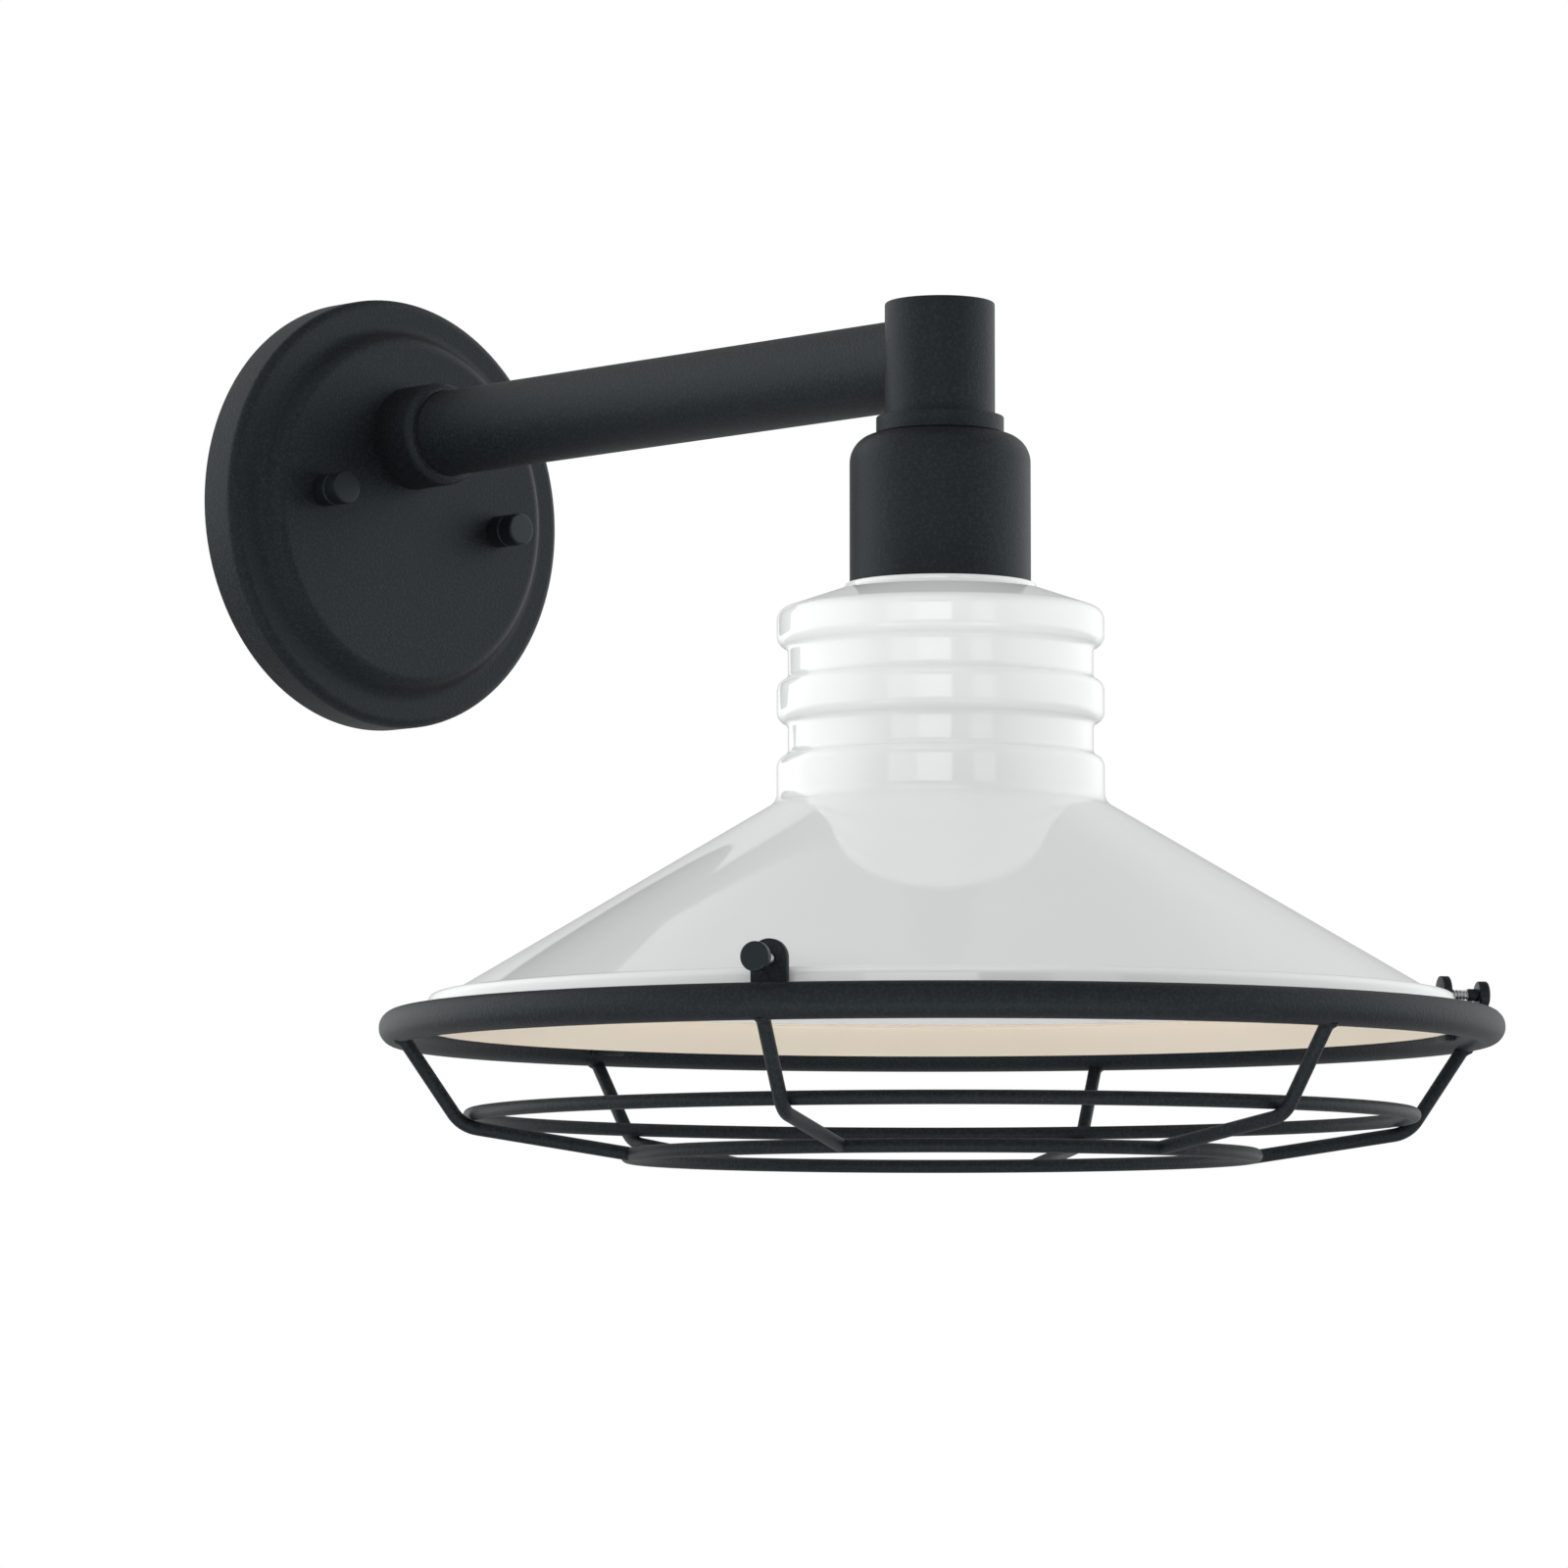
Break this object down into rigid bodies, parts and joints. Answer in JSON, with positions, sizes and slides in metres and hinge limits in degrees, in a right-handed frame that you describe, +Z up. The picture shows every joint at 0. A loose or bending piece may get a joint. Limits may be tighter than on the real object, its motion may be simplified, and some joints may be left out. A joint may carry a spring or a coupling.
{
  "type": "barn wall light",
  "caption": "Barn wall light: round canopy, straight arm, beaded white cone shade over a socket cup, and a black wire guard held on the shade's lip by thumbscrews.",
  "frame": {"origin": "centre of the canopy's back and of the strap's box slots, on the wall", "axes": "+Y into the wall, -Y out along the arm, +Z up, +X to the right of someone who faces the wall"},
  "size_m": [0.4063, 0.5218, 0.3487],
  "materials": {
    "black_powder_coat": "fine-textured satin powder coat",
    "black_fastener": "smooth satin black",
    "white_enamel": "gloss enamel",
    "glazed_porcelain": "glazed",
    "brass_shell": "drawn brass",
    "zinc_plated_steel": "zinc plated",
    "green_ground_screw": "green dyed zinc",
    "foam_gasket": "closed-cell foam"
  },
  "bodies": {
    "fixture": {"wall_canopy": "black_powder_coat", "wall_gasket": "foam_gasket", "mounting_strap": "zinc_plated_steel", "strap_studs": "zinc_plated_steel", "stud_locknuts": "zinc_plated_steel", "ground_screw": "green_ground_screw", "arm_collar": "black_powder_coat", "arm_tube": "black_powder_coat", "arm_locknut": "zinc_plated_steel", "arm_hub": "black_powder_coat", "neck_washer": "black_powder_coat", "hub_nipple": "zinc_plated_steel", "socket_cup": "black_powder_coat", "nipple_locknut": "zinc_plated_steel", "socket_bracket": "zinc_plated_steel", "bracket_screws": "zinc_plated_steel", "lampholder_body": "glazed_porcelain", "lampholder_shell": "brass_shell", "lampholder_contact": "brass_shell", "shade": "white_enamel", "shade_ring_nut": "glazed_porcelain"},
    "guard_cage": {"guard_top_ring": "black_powder_coat", "guard_middle_ring": "black_powder_coat", "guard_inner_ring": "black_powder_coat", "guard_leg_1": "black_powder_coat", "guard_leg_2": "black_powder_coat", "guard_leg_3": "black_powder_coat", "guard_leg_4": "black_powder_coat", "guard_leg_5": "black_powder_coat", "guard_leg_6": "black_powder_coat", "guard_tab_1": "black_powder_coat", "guard_tab_2": "black_powder_coat", "guard_tab_3": "black_powder_coat"},
    "left_nut": {"cap_nut_left": "black_fastener"},
    "right_nut": {"cap_nut_right": "black_fastener"},
    "screw_1": {"thumbscrew_1": "black_fastener"},
    "screw_2": {"thumbscrew_2": "black_fastener"},
    "screw_3": {"thumbscrew_3": "black_fastener"}
  },
  "joints": [
    {"name": "guard_turn", "type": "hinge", "parent": "fixture", "child": "guard_cage", "pos_m": [0, -0.3186, -0.2154], "axis": [0, 0, 1], "continuous": true},
    {"name": "cap_nut_left_turn", "type": "hinge", "parent": "fixture", "child": "left_nut", "pos_m": [-0.0453, -0.0325, 0.00428], "axis": [0, 1, 0], "continuous": true},
    {"name": "cap_nut_right_turn", "type": "hinge", "parent": "fixture", "child": "right_nut", "pos_m": [0.0453, -0.0325, -0.00428], "axis": [0, 1, 0], "continuous": true},
    {"name": "thumbscrew_1_travel", "type": "slide", "parent": "guard_cage", "child": "screw_1", "axis": [-0.891, -0.454, 0], "range_m": [0, 0.006]},
    {"name": "thumbscrew_2_travel", "type": "slide", "parent": "guard_cage", "child": "screw_2", "axis": [0.8387, -0.5446, 0], "range_m": [0, 0.006]},
    {"name": "thumbscrew_3_travel", "type": "slide", "parent": "guard_cage", "child": "screw_3", "axis": [0.0523, 0.9986, 0], "range_m": [0, 0.006]}
  ]
}
